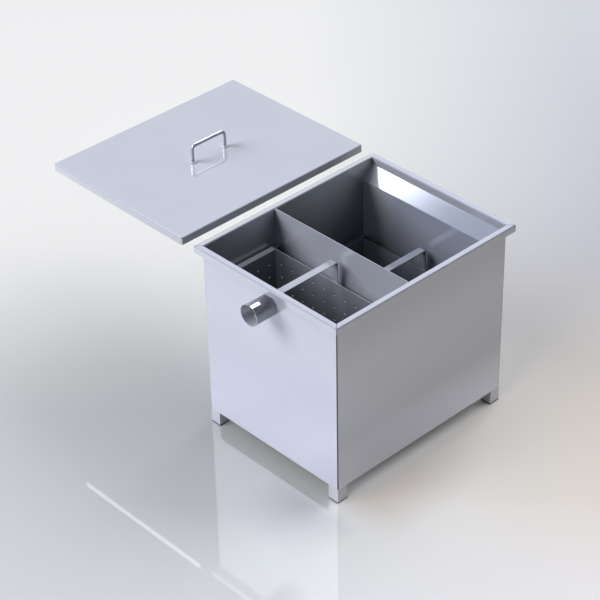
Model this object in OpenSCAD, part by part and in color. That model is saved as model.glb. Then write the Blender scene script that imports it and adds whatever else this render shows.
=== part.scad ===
// Stainless steel grease trap: a folded sheet tank on four short legs, with two strainer baskets,
// a divider, an outlet baffle and a lift-off lid that stands beside the tank at its closed height.
// The width runs along X and the flow along +Y, from the inlet pipe to the outlet pipe.
// The origin is on the ground, under the middle of the tank.

/* [Tank] */
// Width over the side walls
tank_w = 400; // [320:1:600]
// Length over the end walls
tank_l = 508; // [440:1:800]
// Height of the rim above the ground
tank_h = 468; // [450:1:600]
// Thickness of the wall, floor, divider and baffle sheets
sheet = 2; // [1.5:0.1:3]
// Inside radius of every fold in the sheets
fold_r = 1; // [0.5:0.1:2]
// Overlap of the wall edges behind the open corner seams
corner_lap = 0.5; // [0.3:0.1:1]

/* [Rim] */
// Width of the rim outside the wall
rim_w = 14; // [12:0.5:30]
// Height of the rim's turned-down lip
rim_lip = 16; // [10:0.5:25]
// Gap of the mitred seams at the rim's corners
mitre_gap = 1.2; // [0.4:0.1:2]

/* [Legs] */
// Side of the square legs
leg_size = 28; // [24:1:50]
// Wall of the square legs
leg_wall = 2; // [1.5:0.1:3]
// Height of the tank's underside above the ground
leg_h = 37; // [25:1:60]
// Thickness of the end caps under the legs
cap_t = 3; // [2:0.5:8]
// Height of the plug that holds an end cap in its leg
plug_h = 10; // [5:1:15]
// Clearance round the plug
plug_clear = 0.2; // [0.1:0.05:0.3]

/* [Divider] */
// Place of the divider's middle plane, from the middle of the tank
divider_y = -47; // [-80:1:40]
// Width of the slot under the divider
slot_w = 220; // [100:1:280]
// Height of the slot under the divider
slot_h = 60; // [30:1:80]

/* [Outlet baffle] */
// Depth of the top of the slope below the rim
hood_drop = 18; // [12:1:40]
// Height of the slope
hood_rise = 31; // [20:1:50]
// Distance of the baffle's upright face from the inside of the back wall
hood_reach = 28.5; // [20:0.5:50]
// Height of the opening under the baffle
baffle_gap = 50; // [30:1:80]

/* [Pipes] */
// Outside diameter of the pipe stubs
pipe_d = 50.8; // [40:0.1:63.5]
// Wall of the pipe stubs
pipe_wall = 1.5; // [1:0.1:3]
// Length of the stubs outside the wall
pipe_out = 54.5; // [30:0.5:100]
// Length of the stubs inside the wall
pipe_in = 3; // [1:0.5:6]
// Radial clearance of the pipes in the walls
pipe_fit = 0.15; // [0.05:0.05:0.3]
// Depth of the inlet pipe's axis below the rim
inlet_drop = 52; // [50:1:80]
// Depth of the outlet pipe's axis below the rim
outlet_drop = 168; // [110:1:230]

/* [Baskets] */
// Thickness of the baskets' perforated sheet
basket_sheet = 1.5; // [1:0.1:2]
// Gap between the baskets and the sheets around them
basket_gap = 15; // [12:0.5:25]
// Depth of the first basket's rim below the tank's rim
first_drop = 89; // [65:1:110]
// Depth of the first basket
first_depth = 195; // [120:1:240]
// Depth of the second basket's rim below the tank's rim
second_drop = 187; // [150:1:210]
// Depth of the second basket
second_depth = 130; // [80:1:150]
// Diameter of the holes
hole_d = 5; // [3:0.5:8]
// Spacing of the holes
hole_pitch = 32.5; // [25:0.5:50]
// Least distance of a hole from the edge of its wall
hole_margin = 12; // [10:1:20]

/* [Basket handles] */
// Width of the strap
strap_w = 17.5; // [12:0.5:25]
// Thickness of the strap
strap_t = 2; // [1.5:0.1:3]
// Inside radius of the strap's bends
strap_r = 2; // [1:0.5:5]
// Height of the strap above the rim of its basket
strap_rise = 54; // [45:1:60]
// Length of strap that lies on the wall of its basket
strap_lap = 28; // [15:1:30]

/* [Ledges] */
// Thickness of the ledges
ledge_t = 1.5; // [1:0.1:2]
// Height of a ledge's upright leg
ledge_h = 15; // [10:1:25]
// Clearance between a ledge and its basket's wall
ledge_clear = 2; // [1:0.5:3]
// Clearance between a basket's flange and the tank's wall
flange_clear = 4; // [2:0.5:5]
// Clearance at each end of a ledge
ledge_end = 0.3; // [0.2:0.1:0.6]

/* [Lid] */
// Thickness of the lid's sheet
lid_sheet = 1.5; // [1:0.1:2.5]
// Clearance between the lid's skirt and the rim
lid_clear = 1; // [0.5:0.1:3]
// Height of the lid's skirt
lid_skirt = 18; // [10:0.5:30]
// Gap between the rim and the lid that stands beside it
lid_gap = 34.5; // [10:0.5:100]
// Thickness of the gasket under the lid
gasket_t = 2; // [1:0.5:5]
// Width of the gasket
gasket_w = 12; // [6:0.5:14]
// Clearance between the gasket and the lid's folds
gasket_edge = 0.5; // [0.2:0.1:2]

/* [Lid handle] */
// Diameter of the handle's bar
bar_d = 8; // [7:0.5:14]
// Distance between the handle's two legs
bar_span = 96; // [64:1:160]
// Height of the bar's middle line above the lid
bar_rise = 40; // [25:1:60]
// Radius of the bar's bends, to its middle line
bar_bend = 10; // [9:0.5:16]
// Diameter of the rosettes
rosette_d = 19; // [16:0.5:30]
// Thickness of the rosettes
rosette_t = 2; // [1:0.5:4]
// Radius of the rosettes' rounded edge
rosette_edge = 1; // [0.5:0.1:2]
// Clearance of the bar in the rosettes
rosette_clear = 0.2; // [0.1:0.05:0.3]
// Diameter of the screws that hold the handle
screw_d = 5; // [3:0.5:5]
// Length of screw inside the handle's leg
screw_bite = 12; // [6:1:14]
// Room in the handle's leg beyond the end of the screw
screw_room = 1; // [0.5:0.5:3]
// Diameter of the screws' heads
screw_head_d = 9.5; // [8:0.5:14]
// Height of the screws' heads
screw_head_h = 3; // [2:0.5:5]
// Clearance round the screws' shanks
screw_clear = 0.15; // [0.05:0.05:0.3]

/* [Hidden] */

$fn = 64;
// Overshoot of cutting shapes
cut = 1;
satin = "#c9ccd6";
dark_rubber = "#2b2b2d";

// Inside of the tank
in_x = tank_w / 2 - sheet;
in_y = tank_l / 2 - sheet;
floor_z = leg_h + sheet;
divider_front = divider_y - sheet / 2;
divider_back = divider_y + sheet / 2;
baffle_front = in_y - hood_reach;
inlet_z = tank_h - inlet_drop;
outlet_z = tank_h - outlet_drop;

// Half width of both baskets, the two ends of each along the flow, and the heights of their rims
basket_x = in_x - basket_gap;
first_y0 = -in_y + basket_gap;
first_y1 = divider_front - basket_gap;
second_y0 = divider_back + basket_gap;
second_y1 = baffle_front - basket_gap;
first_rim_z = tank_h - first_drop;
second_rim_z = tank_h - second_drop;
flange_w = basket_gap - flange_clear;
ledge_w = basket_gap - ledge_clear;

// Lid, at its closed height beside the tank
lid_in_x = tank_w / 2 + rim_w + lid_clear;
lid_in_y = tank_l / 2 + rim_w + lid_clear;
lid_x = -(tank_w / 2 + rim_w + lid_gap + lid_in_x + lid_sheet);
lid_under = tank_h + gasket_t;
lid_top = lid_under + lid_sheet;
gasket_inset = fold_r + gasket_edge;

// Quarter or part of a ring, as a fold leaves it. It starts at the origin, heading along +X with the sheet
// on the left, and turns left for a positive angle and right for a negative one.
module fold(turn, t, r) {
    left = turn > 0;
    reach = 4 * (r + t);
    first = left ? -90 : 90;
    translate([0, left ? t + r : -r])
        intersection() {
            difference() {
                circle(r + t);
                circle(r);
            }
            polygon([
                [0, 0],
                reach * [cos(first), sin(first)],
                reach * [cos(first + turn / 2), sin(first + turn / 2)],
                reach * [cos(first + turn), sin(first + turn)]
            ]);
        }
}

// Section of a folded sheet, with the sheet on the left of its path. Each step of the path is a flat length
// and the turn after it.
module sheet_section(path, t, r, step = 0) {
    flat = path[step][0];
    turn = path[step][1];
    square([flat, t]);
    if (turn != 0) {
        radius = turn > 0 ? t + r : r;
        translate([flat, 0])
            fold(turn, t, r);
        translate([flat + radius * sin(abs(turn)), sign(turn) * radius * (1 - cos(turn))])
            rotate(turn)
                sheet_section(path, t, r, step + 1);
    }
}

// Section in the plane of Y and Z, drawn along X and centred on it
module across(width) {
    translate([-width / 2, 0, 0])
        rotate([90, 0, 90])
            linear_extrude(width)
                children();
}

// Wall sheet with its rim and lip, on the side that faces -Y. The wall ends at its half length, and the rim
// is mitred towards the outer corners at half_corner.
module wall_sheet(half_length, half_corner, out_y) {
    mitre = mitre_gap / sqrt(2);
    rim_end = half_corner + rim_w - mitre;
    path = [
        [tank_h - leg_h - sheet - fold_r, -90],
        [rim_w - sheet - 2 * fold_r, -90],
        [rim_lip - sheet - fold_r, 0]
    ];
    intersection() {
        mirror([0, 1, 0])
            across(2 * rim_end)
                translate([out_y, leg_h])
                    rotate(90)
                        sheet_section(path, sheet, fold_r);
        translate([0, -out_y, leg_h - cut])
            linear_extrude(tank_h - leg_h + 2 * cut)
                polygon([
                    [-half_length, sheet + cut], [half_length, sheet + cut],
                    [half_length, 0], [half_corner - mitre, 0],
                    [rim_end, -rim_w], [rim_end, -rim_w - cut],
                    [-rim_end, -rim_w - cut], [-rim_end, -rim_w],
                    [mitre - half_corner, 0], [-half_length, 0]
                ]);
    }
}

// End wall with the hole for its pipe, on the side that faces -Y
module end_wall(pipe_z) {
    difference() {
        wall_sheet(in_x + corner_lap, tank_w / 2, tank_l / 2);
        translate([0, -in_y + cut, pipe_z])
            rotate([90, 0, 0])
                cylinder(d = pipe_d + 2 * pipe_fit, h = sheet + 2 * cut);
    }
}

module side_wall() {
    rotate(90)
        wall_sheet(in_y, tank_l / 2, tank_w / 2);
}

module front_panel() {
    color(satin)
        end_wall(inlet_z);
}

module back_panel() {
    color(satin)
        rotate(180)
            end_wall(outlet_z);
}

module right_panel() {
    color(satin)
        side_wall();
}

module left_panel() {
    color(satin)
        rotate(180)
            side_wall();
}

module floor_panel() {
    color(satin)
        translate([-in_x, -in_y, leg_h])
            cube([2 * in_x, 2 * in_y, sheet]);
}

// Places a leg or its cap in one corner of the tank
module at_corner(side_x, side_y) {
    translate([side_x * (tank_w - leg_size) / 2, side_y * (tank_l - leg_size) / 2, 0])
        children();
}

module leg(side_x, side_y) {
    bore = leg_size - 2 * leg_wall;
    color(satin)
        at_corner(side_x, side_y)
            translate([0, 0, cap_t])
                linear_extrude(leg_h - cap_t)
                    difference() {
                        square(leg_size, center = true);
                        square(bore, center = true);
                    }
}

module leg_cap(side_x, side_y) {
    plug = leg_size - 2 * leg_wall - 2 * plug_clear;
    color(dark_rubber)
        at_corner(side_x, side_y) {
            linear_extrude(cap_t)
                square(leg_size, center = true);
            linear_extrude(cap_t + plug_h)
                square(plug, center = true);
        }
}

module divider() {
    color(satin)
        translate([0, divider_back, 0])
            rotate([90, 0, 0])
                linear_extrude(sheet)
                    difference() {
                        translate([-in_x, floor_z])
                            square([2 * in_x, tank_h - floor_z]);
                        translate([-slot_w / 2, floor_z - cut])
                            square([slot_w, slot_h + cut]);
                    }
}

// Points along an arc, from one angle to another
function arc_points(centre, radius, from, to, steps = 6) =
    [for (i = [0:steps]) let (a = from + (to - from) * i / steps) centre + radius * [cos(a), sin(a)]];

// Upright sheet that leans back to the wall at its top, cut flush with the wall
module outlet_baffle() {
    lean = atan(hood_reach / hood_rise);
    foot_z = floor_z + baffle_gap;
    slope_z = tank_h - hood_drop - hood_rise;
    outer_r = fold_r + sheet;
    bend = [baffle_front + outer_r, slope_z - outer_r * tan(lean / 2)];
    front_arc = arc_points(bend, outer_r, 180, 180 - lean);
    back_arc = arc_points(bend, fold_r, 180 - lean, 180);
    under_z = back_arc[0].y + (in_y - back_arc[0].x) / tan(lean);
    color(satin)
        across(2 * in_x)
            polygon(concat(
                [[baffle_front, foot_z]], front_arc,
                [[in_y, tank_h - hood_drop], [in_y, under_z]],
                back_arc, [[baffle_front + sheet, foot_z]]
            ));
}

// Pipe stub through an end wall, on the side that faces -Y
module pipe_stub(z) {
    color(satin)
        translate([0, -in_y + pipe_in, z])
            rotate([90, 0, 0])
                linear_extrude(pipe_in + sheet + pipe_out)
                    difference() {
                        circle(d = pipe_d);
                        circle(d = pipe_d - 2 * pipe_wall);
                    }
}

module inlet_pipe() {
    pipe_stub(inlet_z);
}

module outlet_pipe() {
    rotate(180)
        pipe_stub(outlet_z);
}

// Angle on the right wall, under a basket's flange, between two places along the flow
module ledge(rim_z, y0, y1) {
    path = [[ledge_h - ledge_t - fold_r, 90], [ledge_w - ledge_t - fold_r, 0]];
    length = y1 - y0 - 2 * ledge_end;
    color(satin)
        translate([in_x, y1 - ledge_end, rim_z - basket_sheet - ledge_h])
            rotate([90, 0, 0])
                linear_extrude(length)
                    rotate(90)
                        sheet_section(path, ledge_t, fold_r);
}

module first_ledge_right() {
    ledge(first_rim_z, -in_y, divider_front);
}

module first_ledge_left() {
    mirror([1, 0, 0])
        first_ledge_right();
}

module second_ledge_right() {
    ledge(second_rim_z, divider_back, baffle_front);
}

module second_ledge_left() {
    mirror([1, 0, 0])
        second_ledge_right();
}

// Places along a wall, spaced evenly each way from its middle
function evenly(half) =
    let (count = floor((half - hole_margin) / hole_pitch))
    [for (i = [-count:count]) i * hole_pitch];

// Holes through both walls of a pair and through the bottom
module basket_holes(half_x, half_y, depth) {
    rows = [for (z = [hole_pitch:hole_pitch:depth - hole_margin]) -z];
    for (z = rows) {
        for (x = evenly(half_x))
            translate([x, half_y + cut, z])
                rotate([90, 0, 0])
                    cylinder(d = hole_d, h = 2 * (half_y + cut));
        for (y = evenly(half_y))
            translate([-half_x - cut, y, z])
                rotate([0, 90, 0])
                    cylinder(d = hole_d, h = 2 * (half_x + cut));
    }
    for (x = evenly(half_x), y = evenly(half_y))
        translate([x, y, -depth - cut])
            cylinder(d = hole_d, h = basket_sheet + 2 * cut);
}

// Basket with its rim at z = 0: one sheet makes the bottom, the two side walls and their flanges, and the
// end walls close it
module basket_body(half_x, half_y, depth) {
    t = basket_sheet;
    wall = depth - 2 * t - 2 * fold_r;
    path = [
        [flange_w - fold_r, -90],
        [wall, 90],
        [2 * (half_x - t - fold_r), 90],
        [wall, -90],
        [flange_w - fold_r, 0]
    ];
    difference() {
        union() {
            translate([0, half_y - t, 0])
                rotate([90, 0, 0])
                    linear_extrude(2 * (half_y - t))
                        translate([-half_x - flange_w, -t])
                            sheet_section(path, t, fold_r);
            for (side = [-1, 1])
                translate([0, side > 0 ? half_y : t - half_y, 0])
                    rotate([90, 0, 0])
                        linear_extrude(t)
                            translate([-half_x, -depth])
                                square([2 * half_x, depth]);
        }
        basket_holes(half_x, half_y, depth);
    }
}

// Strap bent to a U, with its legs on the outside of a basket's end walls
module strap(half_y) {
    span = 2 * half_y - 2 * strap_r;
    leg = strap_lap + strap_rise - strap_t - strap_r;
    path = [[leg, -90], [span, -90], [leg, 0]];
    across(strap_w)
        translate([-half_y, -strap_lap])
            rotate(90)
                sheet_section(path, strap_t, strap_r);
}

// Middle of a basket along the flow, at the height of its rim
module at_basket(y0, y1, rim_z) {
    translate([0, (y0 + y1) / 2, rim_z])
        children();
}

module first_basket() {
    color(satin)
        at_basket(first_y0, first_y1, first_rim_z)
            basket_body(basket_x, (first_y1 - first_y0) / 2, first_depth);
}

module second_basket() {
    color(satin)
        at_basket(second_y0, second_y1, second_rim_z)
            basket_body(basket_x, (second_y1 - second_y0) / 2, second_depth);
}

module first_basket_handle() {
    color(satin)
        at_basket(first_y0, first_y1, first_rim_z)
            strap((first_y1 - first_y0) / 2);
}

module second_basket_handle() {
    color(satin)
        at_basket(second_y0, second_y1, second_rim_z)
            strap((second_y1 - second_y0) / 2);
}

// Fold and skirt along one side of the lid, on the side that faces -Y
module lid_side(half_length, in_edge) {
    path = [[lid_skirt - lid_sheet - fold_r, -90], [cut, 0]];
    intersection() {
        across(2 * half_length)
            translate([-in_edge, lid_top - lid_skirt])
                rotate(90)
                    sheet_section(path, lid_sheet, fold_r);
        translate([-half_length, -in_edge - lid_sheet, lid_top - lid_skirt])
            cube([2 * half_length, lid_sheet + fold_r, lid_skirt]);
    }
}

// Folded pan with square reliefs at its corners and the holes for the handle's screws
module lid() {
    flat_x = lid_in_x - fold_r;
    flat_y = lid_in_y - fold_r;
    color(satin)
        translate([lid_x, 0, 0])
            difference() {
                union() {
                    translate([-flat_x, -flat_y, lid_under])
                        cube([2 * flat_x, 2 * flat_y, lid_sheet]);
                    for (turn = [0, 180])
                        rotate(turn)
                            lid_side(flat_x, lid_in_y);
                    for (turn = [90, 270])
                        rotate(turn)
                            lid_side(flat_y, lid_in_x);
                }
                for (side = [-1, 1])
                    translate([0, side * bar_span / 2, lid_under - cut])
                        cylinder(d = screw_d + 2 * screw_clear, h = lid_sheet + 2 * cut);
            }
}

module lid_gasket() {
    out_x = lid_in_x - gasket_inset;
    out_y = lid_in_y - gasket_inset;
    color(dark_rubber)
        translate([lid_x, 0, lid_under - gasket_t])
            linear_extrude(gasket_t)
                difference() {
                    square([2 * out_x, 2 * out_y], center = true);
                    square([2 * (out_x - gasket_w), 2 * (out_y - gasket_w)], center = true);
                }
}

// Half of the bent bar, from the middle of its top to the foot of its back leg
module half_bar() {
    reach = bar_span / 2 - bar_bend;
    rotate([-90, 0, 0])
        translate([0, -bar_rise, 0])
            cylinder(d = bar_d, h = reach);
    translate([0, reach, bar_rise - bar_bend])
        rotate([90, 0, 90])
            rotate_extrude(angle = 90)
                translate([bar_bend, 0])
                    circle(d = bar_d);
    translate([0, bar_span / 2, 0])
        difference() {
            cylinder(d = bar_d, h = bar_rise - bar_bend);
            translate([0, 0, -cut])
                cylinder(d = screw_d + 2 * screw_clear, h = cut + screw_bite + screw_room);
        }
}

module lid_handle() {
    color(satin)
        translate([lid_x, 0, lid_top]) {
            half_bar();
            mirror([0, 1, 0])
                half_bar();
        }
}

// Disc with a rounded edge round the foot of a leg
module rosette(side) {
    bore_r = bar_d / 2 + rosette_clear;
    edge_r = min(rosette_edge, rosette_t / 2);
    color(satin)
        translate([lid_x, side * bar_span / 2, lid_top])
            rotate_extrude()
                difference() {
                    translate([bore_r, 0])
                        square([rosette_d / 2 - bore_r, rosette_t]);
                    translate([rosette_d / 2 - edge_r, rosette_t - edge_r])
                        difference() {
                            square(2 * edge_r);
                            circle(edge_r);
                        }
                }
}

module handle_screws() {
    color(satin)
        for (side = [-1, 1])
            translate([lid_x, side * bar_span / 2, 0]) {
                translate([0, 0, lid_under - screw_head_h])
                    cylinder(d = screw_head_d, h = screw_head_h);
                translate([0, 0, lid_under - screw_head_h])
                    cylinder(d = screw_d, h = screw_head_h + lid_sheet + screw_bite);
            }
}

front_panel();
back_panel();
left_panel();
right_panel();
floor_panel();
leg(-1, -1);  // leg_front_left
leg(1, -1);  // leg_front_right
leg(-1, 1);  // leg_back_left
leg(1, 1);  // leg_back_right
leg_cap(-1, -1);  // cap_front_left
leg_cap(1, -1);  // cap_front_right
leg_cap(-1, 1);  // cap_back_left
leg_cap(1, 1);  // cap_back_right
divider();
outlet_baffle();
inlet_pipe();
outlet_pipe();
first_ledge_left();
first_ledge_right();
second_ledge_left();
second_ledge_right();
first_basket();
first_basket_handle();
second_basket();
second_basket_handle();
lid();
lid_gasket();
lid_handle();
rosette(-1);  // rosette_front
rosette(1);  // rosette_back
handle_screws();
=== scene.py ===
import math

import bmesh
import bpy
from mathutils import Matrix, Vector


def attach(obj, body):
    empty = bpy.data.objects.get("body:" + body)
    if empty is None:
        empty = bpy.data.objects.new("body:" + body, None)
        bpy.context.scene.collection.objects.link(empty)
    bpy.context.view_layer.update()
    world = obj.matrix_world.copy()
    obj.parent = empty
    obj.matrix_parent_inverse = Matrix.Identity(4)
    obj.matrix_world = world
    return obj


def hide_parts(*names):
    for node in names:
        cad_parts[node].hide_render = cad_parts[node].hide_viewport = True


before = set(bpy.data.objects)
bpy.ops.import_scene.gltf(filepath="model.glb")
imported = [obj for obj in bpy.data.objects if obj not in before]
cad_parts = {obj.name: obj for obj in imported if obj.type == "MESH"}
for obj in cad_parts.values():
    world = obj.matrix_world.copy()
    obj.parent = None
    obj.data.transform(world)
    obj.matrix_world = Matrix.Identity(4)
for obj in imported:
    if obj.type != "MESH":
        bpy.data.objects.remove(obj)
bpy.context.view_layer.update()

MM = 0.001
WHITE = "#FFFFFF"
PANEL_WHITE = "#E8ECF4"
# Painted shade for the open seams at the tank's corners
SEAM_SHADE_GREY = "#90929A"

# Photograph: a long lens from the front right, with a slight tilt of the camera
PHOTO_PIXELS = 600
FOCAL_PIXELS = 2052
SENSOR_MM = 36
EYE = Vector((2.5627, -2.5633, 2.8471))
AZIMUTH = math.radians(46.891)
ELEVATION = math.radians(35.069)
ROLL = math.radians(-1.201)

# Level directions to the picture's right and to its back
PICTURE_RIGHT = (0.683, 0.73, 0)
PICTURE_BACK = (-0.73, 0.683, 0)

# Limits that tell the parts of the tank apart: each lies inside a sheet or near its edge
MID_WALL_X = 199 * MM
MID_WALL_Y = 253 * MM
SEAM_X = 198.2 * MM
SEAM_Y = 251.2 * MM
SEAM_TOP = 450 * MM
BELOW_BASKET_RIM = 377 * MM

# Inlet pipe: its axis's height, and a radius inside its wall
INLET_HEIGHT = 416 * MM
MID_PIPE_RADIUS = 24.6 * MM

# Heights between which painted shade darkens the inner walls towards the bottom
UNSHADED_ABOVE = 440 * MM
FULLY_SHADED_BELOW = 220 * MM

# Textures: the usual span of a noise's values, sizes of marks, and how far a gloss strays either way
NOISE_LOW = 0.3
NOISE_HIGH = 0.7
CLOUD_SIZE = 120 * MM
DRAW_MARK_SIZE = 6 * MM
RELIEF = 0.1 * MM
GRAIN_GLOSS_SPAN = 0.015
MARK_GLOSS_SPAN = 0.02
AS_DRAWN_ROUGHNESS = 0.4

# The real grain is about 0.1 mm across; it is drawn 2 mm across and 90 mm long so that it shows at all
GRAIN_ACROSS = 1 / (2 * MM)
GRAIN_ALONG = 1 / (90 * MM)
LEVEL_GRAIN = (GRAIN_ALONG, GRAIN_ALONG, GRAIN_ACROSS)
LONG_GRAIN = (GRAIN_ACROSS, GRAIN_ALONG, GRAIN_ALONG)

# Screws that hold the lid's handle from below
SCREW_X = -465 * MM
SCREW_Y = 48 * MM
HEAD_BOTTOM = 467 * MM
HEAD_TOP = 470 * MM
HEAD_RADIUS = 4.75 * MM
HEAD_ROUNDING = 1.3 * MM
HEAD_SIDES = 48
ROUNDING_STEPS = 5
SHANK_RADIUS = 2.5 * MM
SHANK_LENGTH = 13.5 * MM
SLOT_LENGTH = 5.2 * MM
SLOT_WIDTH = 1.2 * MM
SLOT_DEPTH = 1.6 * MM
LEVEL_NORMAL = 0.9
SMOOTH_ANGLE = math.radians(35)

# Studio: the strength of a painted glow on the floor and of the weak world light, then sizes and places in
# metres
FLOOR_GLOW = 0.16
AMBIENT = 0.12
FLOOR_SIZE = 60
SUN_PLACE = (0, 0, 3)
HANDLE = (-0.465, 0, 0.5)
WIDE_PLACE = {
    "centre": (-3.65, 3.4, 2.6), "target": (0, 0, 2.6),
    "long_side": PICTURE_RIGHT, "size": (10, 5.2)}
KEY_PLACE = {
    "centre": (-1.9, -2.0, 2.6), "target": (-0.2, -0.25, 0.5),
    "long_side": (0.683, -0.73, 0), "size": (3, 1.35)}


# Colour and node helpers

def linear(hex_colour):
    """An sRGB hex colour as linear red, green, blue and full alpha."""
    channels = [int(hex_colour[i:i + 2], 16) / 255 for i in (1, 3, 5)]
    return tuple(c / 12.92 if c <= 0.04045 else ((c + 0.055) / 1.055) ** 2.4 for c in channels) + (1.0,)


def add(tree, kind, inputs=None, **settings):
    """Adds a node with its settings, and gives each input a value or a link."""
    node = tree.nodes.new(kind)
    for name, value in settings.items():
        setattr(node, name, value)
    for socket, value in (inputs or {}).items():
        if isinstance(value, bpy.types.NodeSocket):
            tree.links.new(value, node.inputs[socket])
        else:
            node.inputs[socket].default_value = value
    return node


def calc(tree, operation, *values):
    """The result of one sum or comparison on values or links."""
    return add(tree, "ShaderNodeMath", dict(enumerate(values)), operation=operation).outputs[0]


def ramp(tree, value, start, full, low=0.0, high=1.0):
    """Low where a value is at its start, high where it is full, and even steps in between."""
    reached = add(tree, "ShaderNodeMapRange", {
        "Value": value, "From Min": start, "From Max": full, "To Min": low, "To Max": high})
    return reached.outputs["Result"]


def blend(tree, factor, first, second):
    """One tone where a factor is 0, another where it is 1; a tone is a hex colour or a link."""
    tones = [linear(tone) if isinstance(tone, str) else tone for tone in (first, second)]
    layer = add(tree, "ShaderNodeMix", {"Factor": factor, "A": tones[0], "B": tones[1]}, data_type="RGBA")
    return layer.outputs["Result"]


def noise(tree, place, scale, detail, roughness=0.5):
    """Soft random spots, about 1 / scale across."""
    spots = add(tree, "ShaderNodeTexNoise", {
        "Vector": place, "Scale": scale, "Detail": detail, "Roughness": roughness})
    return spots.outputs["Fac"]


def uneven(tree, middle, span, spots):
    """A value that strays from its middle by up to a span either way, with a noise's spots."""
    return ramp(tree, spots, NOISE_LOW, NOISE_HIGH, middle - span, middle + span)


def own_place(tree):
    """Each point's place in the drawing's frame."""
    return add(tree, "ShaderNodeTexCoord").outputs["Object"]


def new_material(name):
    """An empty material and its node tree."""
    material = bpy.data.materials.new(name)
    material.use_nodes = True
    material.node_tree.nodes.clear()
    return material, material.node_tree


def finish_material(tree, shader):
    """Ends a material's tree in its output."""
    add(tree, "ShaderNodeOutputMaterial", {"Surface": shader.outputs[0]})


# Masks, for the parts of a sheet or of the floor with another tone: mostly painted light and shade

def inside_tank_shade(tree, place):
    """0 outside the tank and at its rim, 1 on the lower part of its inner walls, where painted shade lies.
    """
    axes = add(tree, "ShaderNodeSeparateXYZ", {"Vector": place})
    within_sides = calc(tree, "LESS_THAN", calc(tree, "ABSOLUTE", axes.outputs["X"]), MID_WALL_X)
    within_ends = calc(tree, "LESS_THAN", calc(tree, "ABSOLUTE", axes.outputs["Y"]), MID_WALL_Y)
    depth = ramp(tree, axes.outputs["Z"], UNSHADED_ABOVE, FULLY_SHADED_BELOW)
    return calc(tree, "MULTIPLY", calc(tree, "MULTIPLY", within_sides, within_ends), depth)


def in_corner_seams(tree, place):
    """1 in the open seams at the tank's upright corners, below the rim, where painted shade darkens them."""
    axes = add(tree, "ShaderNodeSeparateXYZ", {"Vector": place})
    past_side = calc(tree, "GREATER_THAN", calc(tree, "ABSOLUTE", axes.outputs["X"]), SEAM_X)
    past_end = calc(tree, "GREATER_THAN", calc(tree, "ABSOLUTE", axes.outputs["Y"]), SEAM_Y)
    below_rim = calc(tree, "LESS_THAN", axes.outputs["Z"], SEAM_TOP)
    return calc(tree, "MULTIPLY", calc(tree, "MULTIPLY", past_side, past_end), below_rim)


def in_bore(tree, place):
    """1 on the inlet pipe's bore, 0 on its outside."""
    from_axis = add(tree, "ShaderNodeVectorMath", {
        0: place, 1: (1, 0, 1), 2: (0, 0, -INLET_HEIGHT)}, operation="MULTIPLY_ADD")
    radius = add(tree, "ShaderNodeVectorMath", {0: from_axis.outputs["Vector"]}, operation="LENGTH")
    return calc(tree, "LESS_THAN", radius.outputs["Value"], MID_PIPE_RADIUS)


def facing(axis, start, full):
    """A mask that goes from 0 to 1 as the part of a face's normal along one axis goes from start to full."""
    def mask(tree, place):
        geometry = add(tree, "ShaderNodeNewGeometry")
        normal = add(tree, "ShaderNodeSeparateXYZ", {"Vector": geometry.outputs["True Normal"]})
        return ramp(tree, normal.outputs[axis], start, full)
    return mask


def along(axis, start, full):
    """A mask that goes from 0 at the start to 1 at the full place on one axis."""
    def mask(tree, place):
        axes = add(tree, "ShaderNodeSeparateXYZ", {"Vector": place})
        return ramp(tree, axes.outputs[axis], start, full)
    return mask


def toward(direction, start, full):
    """A mask that goes from 0 at the start to 1 at the full distance in one direction."""
    def mask(tree, place):
        distance = add(tree, "ShaderNodeVectorMath", {0: place, 1: direction}, operation="DOT_PRODUCT")
        return ramp(tree, distance.outputs["Value"], start, full)
    return mask


def both(first, second):
    """A mask that is 1 only where both of two masks are."""
    def mask(tree, place):
        return calc(tree, "MULTIPLY", first(tree, place), second(tree, place))
    return mask


# On the sheets and the pipe, where painted light and shade lie
facing_up = facing("Z", 0.2, 0.5)
facing_down = facing("Z", -0.2, -0.5)
facing_right = facing("X", 0.9, 0.98)
facing_left = facing("X", -0.05, -0.5)
facing_front = facing("Y", -0.5, -0.8)
flat_front = facing("Y", -0.97, -0.99)
hole_edges = both(facing_up, along("Z", BELOW_BASKET_RIM, BELOW_BASKET_RIM - 1 * MM))
left_end = along("X", -90 * MM, -170 * MM)
front_left_end = both(facing_front, along("X", -20 * MM, -150 * MM))
wall_top = along("Z", 330 * MM, 430 * MM)
front_top = both(facing_front, wall_top)
front_foot = both(facing_front, along("Z", 260 * MM, 40 * MM))
right_top = both(facing_right, wall_top)
right_foot = both(facing_right, along("Z", 160 * MM, 40 * MM))
behind_divider = both(facing_right, along("Y", -48 * MM, -46 * MM))
by_outlet = both(facing_right, along("Y", 90 * MM, 220 * MM))
skirt_end = both(facing_right, along("Y", 170 * MM, 260 * MM))

# On the studio floor, by the distance from the tank's middle: painted light and shade, and a painted glow
near_front = toward(PICTURE_BACK, -0.3, -0.6)
front_leftward = toward(PICTURE_RIGHT, 0.55, -0.2)
far_back = toward(PICTURE_BACK, 0.5, 1.9)
rear_leftward = toward(PICTURE_RIGHT, 0.7, -0.1)
rearward = toward(PICTURE_BACK, 0.0, 0.7)
# Where the floor has a painted glow, seen only in reflections
front_left = both(toward(PICTURE_RIGHT, -0.02, -0.22), along("Y", -0.25, -0.3))
# Painted shadows beside the tank's right side and before its right front leg
side_shade = both(
    both(along("X", 200 * MM, 235 * MM), along("X", 370 * MM, 260 * MM)),
    both(along("Y", -270 * MM, -200 * MM), along("Y", 220 * MM, -80 * MM)))
leg_shade = both(
    both(along("X", 30 * MM, 150 * MM), along("X", 300 * MM, 180 * MM)),
    both(along("Y", -265 * MM, -305 * MM), along("Y", -450 * MM, -330 * MM)))


# Materials

def patched(tree, place, tone, patches):
    """A tone with other tones over it, each where its mask is 1."""
    for mask, patch_tone in patches:
        tone = blend(tree, mask(tree, place), tone, patch_tone)
    return tone


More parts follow.
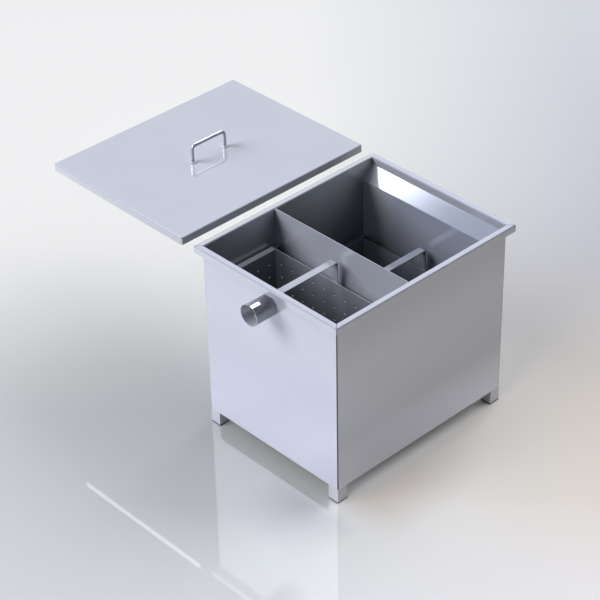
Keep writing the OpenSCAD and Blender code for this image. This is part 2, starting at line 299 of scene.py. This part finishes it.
def grained_steel(name, light, dark, metallic, roughness, grain_scale, patches=(), mirror=None):
    """Rolled stainless sheet: fine straight grain, faint clouds from rolling, an even satin gloss.

    The mirror mask, when there is one, marks the faces that reflect as bare metal.
    """
    material, tree = new_material(name)
    place = own_place(tree)
    along_grain = add(tree, "ShaderNodeMapping", {"Vector": place, "Scale": grain_scale})
    grain = noise(tree, along_grain.outputs["Vector"], scale=1.0, detail=3.0, roughness=0.6)
    clouds = noise(tree, place, scale=1 / CLOUD_SIZE, detail=2.0)
    tone = blend(tree, clouds, light, dark)
    gloss = uneven(tree, roughness, GRAIN_GLOSS_SPAN, grain)
    lines = add(tree, "ShaderNodeBump", {"Height": grain, "Strength": 0.01, "Distance": RELIEF})
    if mirror:
        metallic = ramp(tree, mirror(tree, place), 0.0, 1.0, low=metallic, high=1.0)
    steel = add(tree, "ShaderNodeBsdfPrincipled", {
        "Base Color": patched(tree, place, tone, patches),
        "Metallic": metallic, "Roughness": gloss, "Normal": lines.outputs["Normal"]})
    finish_material(tree, steel)
    return material


def polished_steel(name, light, dark, metallic, roughness, patches=(), as_drawn=None):
    """Drawn and polished stainless bar or tube: faint draw marks, a sharp mirror gloss.

    The as_drawn mask, when there is one, marks the faces that are left unpolished.
    """
    material, tree = new_material(name)
    place = own_place(tree)
    marks = noise(tree, place, scale=1 / DRAW_MARK_SIZE, detail=2.0)
    tone = blend(tree, marks, light, dark)
    gloss = uneven(tree, roughness, MARK_GLOSS_SPAN, marks)
    if as_drawn:
        gloss = ramp(tree, as_drawn(tree, place), 0.0, 1.0, low=gloss, high=AS_DRAWN_ROUGHNESS)
    steel = add(tree, "ShaderNodeBsdfPrincipled", {
        "Base Color": patched(tree, place, tone, patches), "Metallic": metallic, "Roughness": gloss})
    finish_material(tree, steel)
    return material


def moulded_polymer(name, light, dark, roughness, grit):
    """Moulded polymer: a fine matt grit from the mould, slightly paler on its peaks."""
    material, tree = new_material(name)
    grain = noise(tree, own_place(tree), scale=1 / grit, detail=3.0)
    relief = add(tree, "ShaderNodeBump", {"Height": grain, "Strength": 0.3, "Distance": RELIEF})
    polymer = add(tree, "ShaderNodeBsdfPrincipled", {
        "Base Color": blend(tree, grain, dark, light),
        "Roughness": roughness, "Normal": relief.outputs["Normal"]})
    finish_material(tree, polymer)
    return material


# Painted light and shade on the walls: the front darker at its top and lighter at its foot; faces that look
# right darker, and darker again at the top of the right wall but lighter at its foot; painted shade deep
# inside and in the corner seams
wall_steel = grained_steel(
    "stainless_tank_wall", "#E2E4EE", "#DCDEE9", metallic=0.6, roughness=0.15, grain_scale=LEVEL_GRAIN,
    patches=[
        (front_top, "#D6D8E1"), (front_foot, "#ECEDF9"), (facing_right, "#BCBFC7"), (right_top, "#AEB3BC"),
        (right_foot, "#E0E4F0"), (inside_tank_shade, "#828489"), (in_corner_seams, SEAM_SHADE_GREY)])
# The left wall's steel, with painted light and shade: its inner face darker, lighter beyond the divider,
# darker by the outlet, its rim top lighter; painted shade deep inside and in the corner seams
left_steel = grained_steel(
    "stainless_left_wall", "#DCDEE7", "#D6D8E2", metallic=0.6, roughness=0.15, grain_scale=LEVEL_GRAIN,
    patches=[
        (facing_right, "#C4C6CC"), (behind_divider, "#E2E6E6"), (by_outlet, "#B8BBBD"),
        (facing_up, "#E2E4E6"), (inside_tank_shade, "#6C6E76"), (in_corner_seams, SEAM_SHADE_GREY)])
# Painted shade: faces that look right are darker
leg_steel = grained_steel(
    "stainless_leg", "#E8EAF0", "#E2E4EB", metallic=0.6, roughness=0.15, grain_scale=LEVEL_GRAIN,
    patches=[(facing_right, "#CFCFD4")])
# Painted shade: the divider's top edge is darker
divider_steel = grained_steel(
    "stainless_divider", "#D2D4DD", "#CCCED8", metallic=0.55, roughness=0.25, grain_scale=LEVEL_GRAIN,
    patches=[(facing_up, "#BEC0C8")])
# Painted shade deep inside, and painted light on the baffle's left end
baffle_steel = grained_steel(
    "stainless_baffle", "#C0C6D5", "#BAC0CF", metallic=0.6, roughness=0.13, grain_scale=LEVEL_GRAIN,
    patches=[(inside_tank_shade, "#AFB3BD"), (left_end, "#F4F5F8")])
# Painted light and shade on the lid: the front fold darker, the flat front skirt slightly darker than the
# top, the skirt beside the tank darker and lighter towards its back end, the underside darker
lid_steel = grained_steel(
    "stainless_lid", "#E6E9F1", "#E0E3EC", metallic=0.35, roughness=0.06, grain_scale=LONG_GRAIN,
    patches=[
        (facing_front, "#B8BAC4"), (flat_front, "#DADCE4"), (facing_right, "#84868C"),
        (skirt_end, "#B2B4BA"), (facing_down, "#606268")],
    mirror=flat_front)
# Painted shade: the straps and ledges darker deep inside
strap_steel = grained_steel(
    "stainless_strap", "#D6D8E1", "#D0D2DB", metallic=0.6, roughness=0.15, grain_scale=LONG_GRAIN,
    patches=[(inside_tank_shade, "#8A8C94")])
# Painted light and shade: darker deep inside, lighter on faces that look up, and painted highlights on the
# up-facing hole edges below the rim
basket_steel = grained_steel(
    "stainless_basket", "#888A93", "#7E8089", metallic=0.15, roughness=0.25, grain_scale=LEVEL_GRAIN,
    patches=[(inside_tank_shade, "#42444B"), (facing_up, "#A6A8B0"), (hole_edges, "#EEF0F4")])
# The second basket's steel, with painted light and shade: darker deep inside, lighter on front-facing faces
# towards its left end, darker on faces that look up
deep_steel = grained_steel(
    "stainless_deep_basket", "#93959E", "#888A94", metallic=0.15, roughness=0.25, grain_scale=LEVEL_GRAIN,
    patches=[(inside_tank_shade, "#6A6C74"), (front_left_end, "#A6A8B0"), (facing_up, "#787A82")])
# Painted reflection of the front wall on faces that look left, and painted light in the bore
tube_steel = polished_steel(
    "stainless_tube", "#9A9CA4", "#90929A", metallic=0.5, roughness=0.06,
    patches=[(facing_left, "#F0F2F6"), (in_bore, "#C4C6CC")], as_drawn=in_bore)
bar_steel = polished_steel("stainless_bar", "#C8CAD2", "#BEC0C8", metallic=0.35, roughness=0.12)
cap_plastic = moulded_polymer("polyethylene_cap", "#45464A", "#38393C", roughness=0.55, grit=0.8 * MM)
seal_rubber = moulded_polymer("silicone_seal", "#94969A", "#86888C", roughness=0.6, grit=1.5 * MM)

FINISHES = {
    wall_steel: ("front_panel", "back_panel", "right_panel", "floor_panel"),
    left_steel: ("left_panel",),
    leg_steel: ("leg_front_left", "leg_front_right", "leg_back_left", "leg_back_right",
                "rosette_front", "rosette_back"),
    divider_steel: ("divider",),
    baffle_steel: ("outlet_baffle",),
    lid_steel: ("lid",),
    strap_steel: ("first_ledge_left", "first_ledge_right", "second_ledge_left", "second_ledge_right",
                  "first_basket_handle", "second_basket_handle"),
    basket_steel: ("first_basket",),
    deep_steel: ("second_basket",),
    tube_steel: ("inlet_pipe",),
    bar_steel: ("lid_handle", "handle_screws", "outlet_pipe"),
    cap_plastic: ("cap_front_left", "cap_front_right", "cap_back_left", "cap_back_right"),
    seal_rubber: ("lid_gasket",),
}
for finish, names in FINISHES.items():
    for name in names:
        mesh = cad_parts[name].data
        mesh.materials.clear()
        mesh.materials.append(finish)


# Handle screws

def select_faces(piece, direction):
    """Selects the faces that look straight up, for 1, or straight down, for -1, and no others."""
    mesh = bmesh.from_edit_mesh(piece.data)
    for face in mesh.faces:
        face.select_set(direction * face.normal.z > LEVEL_NORMAL)
    mesh.select_flush_mode()
    bmesh.update_edit_mesh(piece.data)


def cut_slot(screw, centre, length, width):
    """Cuts one bar of the cross recess out of a screw's head."""
    bpy.ops.object.select_all(action="DESELECT")
    bpy.ops.mesh.primitive_cube_add(size=1, location=centre, scale=(length, width, 2 * SLOT_DEPTH))
    cutter = bpy.context.object
    bpy.ops.object.transform_apply(location=True, rotation=True, scale=True)
    bpy.context.view_layer.objects.active = screw
    recess = screw.modifiers.new("recess", "BOOLEAN")
    recess.object = cutter
    recess.operation = "DIFFERENCE"
    bpy.ops.object.modifier_apply(modifier="recess")
    bpy.data.objects.remove(cutter, do_unlink=True)


def handle_screw(name, y):
    """Pan-head screw with a cross recess, its head under the lid and its shank up in the handle."""
    bpy.ops.object.select_all(action="DESELECT")
    bpy.ops.mesh.primitive_cylinder_add(
        vertices=HEAD_SIDES, radius=HEAD_RADIUS, depth=HEAD_TOP - HEAD_BOTTOM,
        location=(SCREW_X, y, (HEAD_TOP + HEAD_BOTTOM) / 2))
    screw = bpy.context.object
    screw.name = name
    bpy.ops.object.transform_apply(location=True, rotation=True, scale=True)
    bpy.ops.object.mode_set(mode="EDIT")
    bpy.ops.mesh.select_mode(type="FACE")
    select_faces(screw, -1)
    bpy.ops.mesh.bevel(offset=HEAD_ROUNDING, segments=ROUNDING_STEPS, affect="EDGES")
    select_faces(screw, 1)
    bpy.ops.mesh.inset(thickness=HEAD_RADIUS - SHANK_RADIUS)
    bpy.ops.mesh.extrude_region_move(TRANSFORM_OT_translate={"value": (0, 0, SHANK_LENGTH)})
    bpy.ops.object.mode_set(mode="OBJECT")
    centre = (SCREW_X, y, HEAD_BOTTOM)
    cut_slot(screw, centre, SLOT_LENGTH, SLOT_WIDTH)
    cut_slot(screw, centre, SLOT_WIDTH, SLOT_LENGTH)
    bpy.ops.object.select_all(action="DESELECT")
    screw.select_set(True)
    bpy.context.view_layer.objects.active = screw
    bpy.ops.object.shade_smooth_by_angle(angle=SMOOTH_ANGLE)
    screw.data.materials.clear()
    screw.data.materials.append(bar_steel)
    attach(screw, "root")
    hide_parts("handle_screws")


handle_screw("handle_screw_front", -SCREW_Y)
handle_screw("handle_screw_back", SCREW_Y)


# Studio

def floor_tone(tree, place):
    """Pale grey with painted light and shade: warm on the right, brightest at the back left, darker at the
    back right, with painted shadows by the tank's side and right leg.
    """
    front = patched(tree, place, "#D7D0C8", [(near_front, "#E2DFE2"), (front_leftward, "#D3D6DA")])
    rear = patched(tree, place, "#BEC1CB", [(far_back, "#D1D4DA"), (rear_leftward, "#EBEBEB")])
    pale = blend(tree, rearward(tree, place), front, rear)
    return patched(tree, place, pale, [(side_shade, "#C6BFB9"), (leg_shade, "#B6B9BF")])


def studio_floor():
    """Polished floor with a painted glow at the front left, which shows only where metal mirrors it."""
    bpy.ops.object.select_all(action="DESELECT")
    bpy.ops.mesh.primitive_plane_add(size=FLOOR_SIZE)
    floor = bpy.context.object
    floor.name = "studio_floor"
    material, tree = new_material("studio_floor")
    place = own_place(tree)
    polish = add(tree, "ShaderNodeBsdfPrincipled", {
        "Base Color": floor_tone(tree, place), "Roughness": 0.015, "IOR": 2.0, "Specular IOR Level": 0.75})
    path = add(tree, "ShaderNodeLightPath")
    in_metal = calc(tree, "MULTIPLY", front_left(tree, place), path.outputs["Is Glossy Ray"])
    glow = add(tree, "ShaderNodeEmission", {
        "Color": linear("#E6E8FF"), "Strength": calc(tree, "MULTIPLY", in_metal, FLOOR_GLOW)})
    finish_material(tree, add(tree, "ShaderNodeAddShader", {0: polish.outputs[0], 1: glow.outputs[0]}))
    floor.data.materials.append(material)
    return floor


def studio_world():
    """Pale backdrop that is dim in reflections, so that the panels show in them."""
    world = bpy.data.worlds.new("studio_world")
    bpy.context.scene.world = world
    world.use_nodes = True
    tree = world.node_tree
    tree.nodes.clear()
    mirrored = add(tree, "ShaderNodeBackground", {"Color": linear("#585A64"), "Strength": 1.0})
    backdrop = add(tree, "ShaderNodeBackground", {"Color": linear("#E8E9EC"), "Strength": 1.0})
    light = add(tree, "ShaderNodeBackground", {"Color": linear("#D8DAE0"), "Strength": AMBIENT})
    path = add(tree, "ShaderNodeLightPath")
    unseen = add(tree, "ShaderNodeMixShader", {
        0: path.outputs["Is Glossy Ray"], 1: light.outputs[0], 2: mirrored.outputs[0]})
    seen = add(tree, "ShaderNodeMixShader", {
        0: path.outputs["Is Camera Ray"], 1: unseen.outputs[0], 2: backdrop.outputs[0]})
    add(tree, "ShaderNodeOutputWorld", {"Surface": seen.outputs[0]})


def hang_lamp(name, kind, colour, power):
    """A lamp that the camera doesn't see."""
    lamp = bpy.data.lights.new(name, kind)
    lamp.color = linear(colour)[:3]
    lamp.energy = power
    holder = bpy.data.objects.new(name, lamp)
    holder.visible_camera = False
    bpy.context.scene.collection.objects.link(holder)
    return holder


def aim(holder, centre, backwards, long_side):
    """Places a lamp so that it shines away from backwards, with its width along long_side."""
    z = Vector(backwards).normalized()
    x = Vector(long_side)
    x = (x - x.dot(z) * z).normalized()
    turned = Matrix((x, z.cross(x), z)).transposed()
    holder.matrix_world = Matrix.Translation(Vector(centre)) @ turned.to_4x4()


def reflector(name, receivers, centre, target, long_side, size, glare, colour=WHITE):
    """Rectangular panel that only shows as a reflection on its receivers; a glare of 1 is white."""
    width, height = size
    panel = hang_lamp(name, "AREA", colour, glare * math.pi * width * height)
    panel.light_linking.receiver_collection = receivers
    panel.data.shape = "RECTANGLE"
    panel.data.size = width
    panel.data.size_y = height
    panel.visible_diffuse = False
    aim(panel, centre, Vector(centre) - Vector(target), long_side)


def far_softbox(name, receivers, origin, spread, power, colour=WHITE):
    """Wide even light from one side, for its receivers only, that shows in no reflection."""
    sun = hang_lamp(name, "SUN", colour, power)
    sun.data.angle = math.radians(spread)
    sun.visible_glossy = False
    sun.light_linking.receiver_collection = receivers
    aim(sun, SUN_PLACE, origin, (1, 0, 0))


def nodes(*names):
    """Some of the drawing's nodes, by name."""
    return [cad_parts[name] for name in names]


def receivers_of(name, things, state):
    """A group of things that are the only ones lit by a lamp, or the only ones not lit by it."""
    group = bpy.data.collections.new(name)
    for thing in things:
        group.objects.link(thing)
    for member in group.collection_objects:
        member.light_linking.link_state = state
    return group


def photo_camera():
    """Camera at the photograph's place, with the photograph's tilt."""
    back = Vector((
        math.sin(AZIMUTH) * math.cos(ELEVATION),
        -math.cos(AZIMUTH) * math.cos(ELEVATION),
        math.sin(ELEVATION),
    ))
    level = Vector((0, 0, 1)).cross(back).normalized()
    upright = back.cross(level)
    right = math.cos(ROLL) * level + math.sin(ROLL) * upright
    up = math.cos(ROLL) * upright - math.sin(ROLL) * level
    camera = bpy.data.objects.new("photo_camera", bpy.data.cameras.new("photo_camera"))
    camera.data.sensor_width = SENSOR_MM
    camera.data.lens = SENSOR_MM * FOCAL_PIXELS / PHOTO_PIXELS
    turned = Matrix((right, up, back)).transposed()
    camera.matrix_world = Matrix.Translation(EYE) @ turned.to_4x4()
    bpy.context.scene.collection.objects.link(camera)
    bpy.context.scene.camera = camera


floor = studio_floor()
studio_world()
on_floor = receivers_of("lit_floor", [floor], "INCLUDE")
on_object = receivers_of("lit_object", [floor], "EXCLUDE")
on_front = receivers_of("lit_front", nodes("front_panel", "leg_front_left", "leg_front_right",
                                           "lid_handle", "rosette_front", "rosette_back"), "INCLUDE")
on_lid = receivers_of("lit_lid", nodes("lid"), "INCLUDE")
off_lid = receivers_of("lit_beside_lid", [floor, *nodes("lid")], "EXCLUDE")
on_folds = receivers_of("lit_folds", nodes("right_panel", "lid"), "INCLUDE")
on_baffle = receivers_of("lit_baffle", nodes("outlet_baffle"), "INCLUDE")
on_basket = receivers_of("lit_basket", nodes("first_basket"), "INCLUDE")
on_pipe = receivers_of("lit_pipe", nodes("inlet_pipe"), "INCLUDE")
on_handle = receivers_of("lit_handle", nodes("lid_handle"), "INCLUDE")

far_softbox("object_key", on_object, (-0.5, -0.66, 0.56), spread=40, power=4.5, colour="#F4F6FF")
far_softbox("object_back_fill", on_object, (0.0, 0.75, 0.66), spread=30, power=0.8, colour="#FAFBFF")
far_softbox("basket_light", on_basket, (0.1, -0.5, 0.86), spread=20, power=1.2)
far_softbox("floor_back_light", on_floor, (0.1, 0.8, 0.59), spread=60, power=2.64, colour="#FCFDFF")
far_softbox("floor_right_light", on_floor, (0.7, 0.3, 0.65), spread=60, power=0.92, colour="#FCFDFF")
far_softbox("floor_front_light", on_floor, (-0.2, -0.81, 0.55), spread=60, power=2.61, colour="#FFFEFC")
far_softbox("floor_top_light", on_floor, (-0.2, 0.25, 0.95), spread=45, power=0.29)

reflector("wide_panel", off_lid, **WIDE_PLACE, glare=0.8, colour=PANEL_WHITE)
reflector("lid_panel", on_lid, **WIDE_PLACE, glare=0.4, colour=PANEL_WHITE)
reflector("key_panel", on_front, **KEY_PLACE, glare=0.6)
reflector("skirt_panel", on_lid, **KEY_PLACE, glare=1.5)
reflector("slope_panel", on_baffle, centre=(-2.33, -1.06, 2.13), target=(-0.53, 0.8, 0.6),
          long_side=(0.719, -0.695, 0), size=(1.4, 1.2), glare=3.6)
reflector("pipe_panel", on_pipe, centre=(-0.42, 1.51, 2.9), target=(0, -0.28, 0.44),
          long_side=(0.975, 0, 0.223), size=(1.75, 0.7), glare=10.0)
reflector("handle_panel", on_handle, centre=(-2.86, 1.71, 0.8), target=HANDLE,
          long_side=(0.57, 0.8, 0), size=(1.6, 1.4), glare=6.0)
reflector("bar_panel", on_handle, centre=(-0.965, 1.4, 2.5), target=HANDLE,
          long_side=(0.98, 0, 0.2), size=(1.7, 0.9), glare=4.0)
reflector("upright_panel", on_handle, centre=(-1.75, -1.06, 1.82), target=HANDLE,
          long_side=(0.73, -0.683, 0), size=(4.4, 0.9), glare=5.0)
reflector("fold_panel", on_folds, centre=(1.91, 1.68, 2.26), target=(0.2, 0, 0.46),
          long_side=(0.7, -0.71, 0), size=(2, 2), glare=0.12)
photo_camera()
bpy.context.scene.view_settings.view_transform = "Standard"
